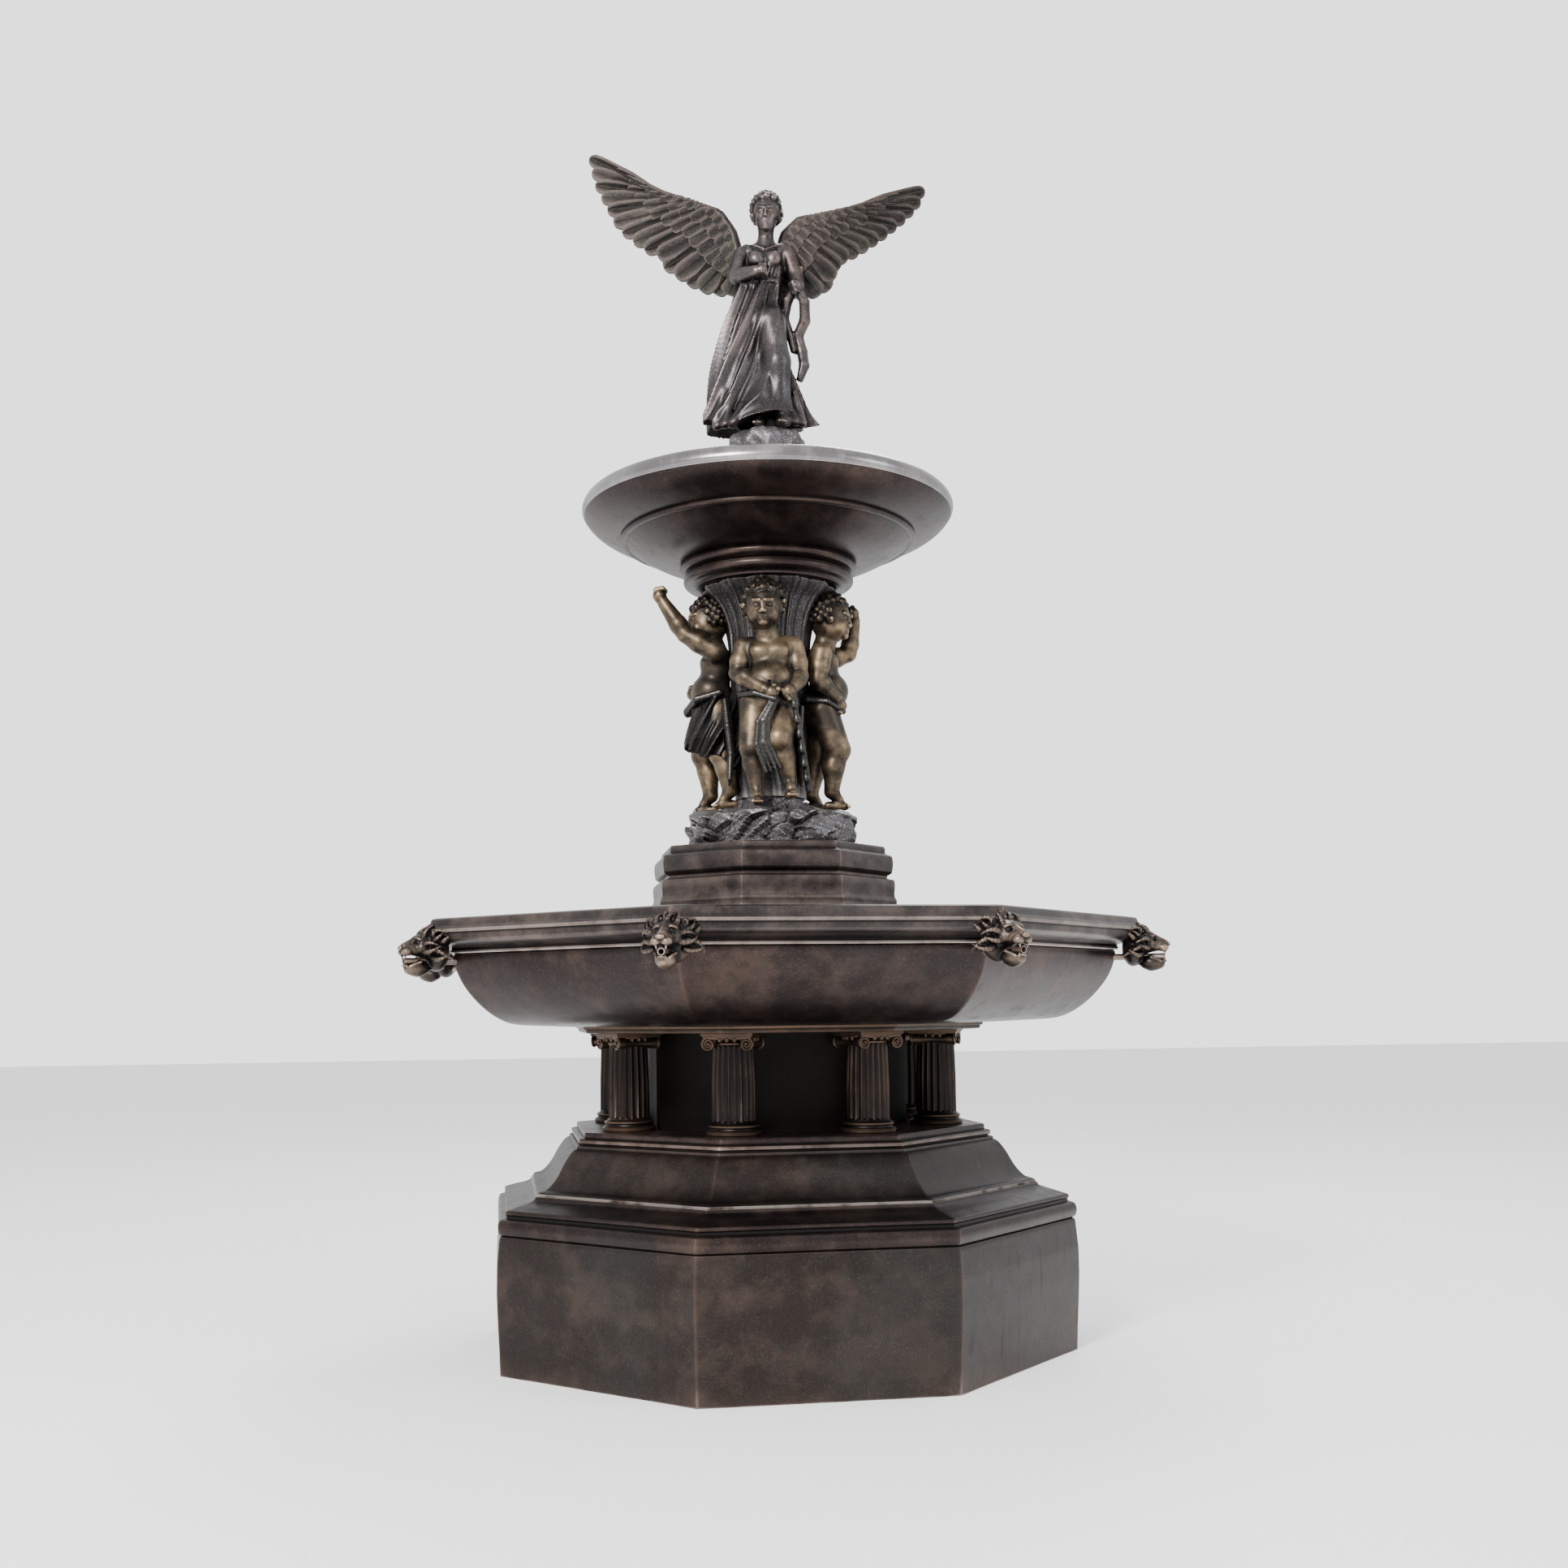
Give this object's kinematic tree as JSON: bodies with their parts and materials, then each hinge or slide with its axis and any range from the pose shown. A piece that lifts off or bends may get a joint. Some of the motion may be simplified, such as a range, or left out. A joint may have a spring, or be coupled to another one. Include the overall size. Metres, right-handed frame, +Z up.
{
  "type": "tiered fountain",
  "caption": "Cast-bronze garden fountain: octagonal plinth, column ring, wide basin with lion-mask spouts, child figures round a stem, a round bowl and a winged figure on top.",
  "frame": {"origin": "ground level on the fountain's vertical axis", "axes": "+Z up; -Y out of the flat that the front child and the winged figure nearly face; +X to its right when looking at that flat"},
  "size_m": [2.8912, 2.8912, 4.8623],
  "materials": {
    "bronze": "aged dark brown patina, worn brighter on edges",
    "grey_bronze": "grey speckled patina",
    "warm_bronze": "golden brown patina, polished on raised parts",
    "pipe": "dull",
    "steel": "satin",
    "paint": "matt enamel",
    "lever": "red dipped handle"
  },
  "bodies": {
    "fountain": {"plinth_block": "bronze", "plinth_moulding": "bronze", "pedestal_cavetto": "bronze", "stylobate": "bronze", "architrave_ring": "bronze", "core_drum": "bronze", "basin": "bronze", "basin_rim": "bronze", "basin_pedestal": "bronze", "tier_lower": "bronze", "tier_upper": "bronze", "bowl_collar": "bronze", "upper_bowl": "bronze", "figure_pedestal": "bronze", "winged_figure": "bronze", "wing_right": "bronze", "wing_left": "bronze", "column_1": "bronze", "column_2": "bronze", "column_3": "bronze", "column_4": "bronze", "column_5": "bronze", "column_6": "bronze", "column_7": "bronze", "column_8": "bronze", "rock_mound": "grey_bronze", "flared_stem": "grey_bronze", "cherub_front": "warm_bronze", "cherub_right": "warm_bronze", "cherub_back": "warm_bronze", "cherub_left": "warm_bronze", "lion_mask_1": "warm_bronze", "lion_mask_2": "warm_bronze", "lion_mask_3": "warm_bronze", "lion_mask_4": "warm_bronze", "lion_mask_5": "warm_bronze", "lion_mask_6": "warm_bronze", "lion_mask_7": "warm_bronze", "lion_mask_8": "warm_bronze", "spout_tube_1": "pipe", "spout_tube_2": "pipe", "spout_tube_3": "pipe", "spout_tube_4": "pipe", "spout_tube_5": "pipe", "spout_tube_6": "pipe", "spout_tube_7": "pipe", "spout_tube_8": "pipe", "riser_lower": "pipe", "riser_upper": "pipe", "valve_body": "pipe", "drain_socket": "pipe", "pump_intake_cage": "steel", "pump_motor": "paint", "pump_cable_gland": "paint", "pump_casing": "paint"},
    "rotor": {"pump_shaft": "steel", "pump_impeller": "steel"},
    "valve": {"valve_ball": "steel", "valve_lever": "lever"},
    "overflow_pipe": {"standpipe": "pipe"}
  },
  "joints": [
    {"name": "pump_spin", "type": "hinge", "parent": "fountain", "child": "rotor", "pos_m": [0, 0, 0.335], "axis": [0, 0, 1], "continuous": true},
    {"name": "valve_turn", "type": "hinge", "parent": "fountain", "child": "valve", "pos_m": [0, 0, 0.58], "axis": [0, -1, 0], "range_deg": [0, 90]},
    {"name": "standpipe_lift", "type": "slide", "parent": "fountain", "child": "overflow_pipe", "axis": [0, 0, 1], "range_m": [0, 0.45]}
  ]
}
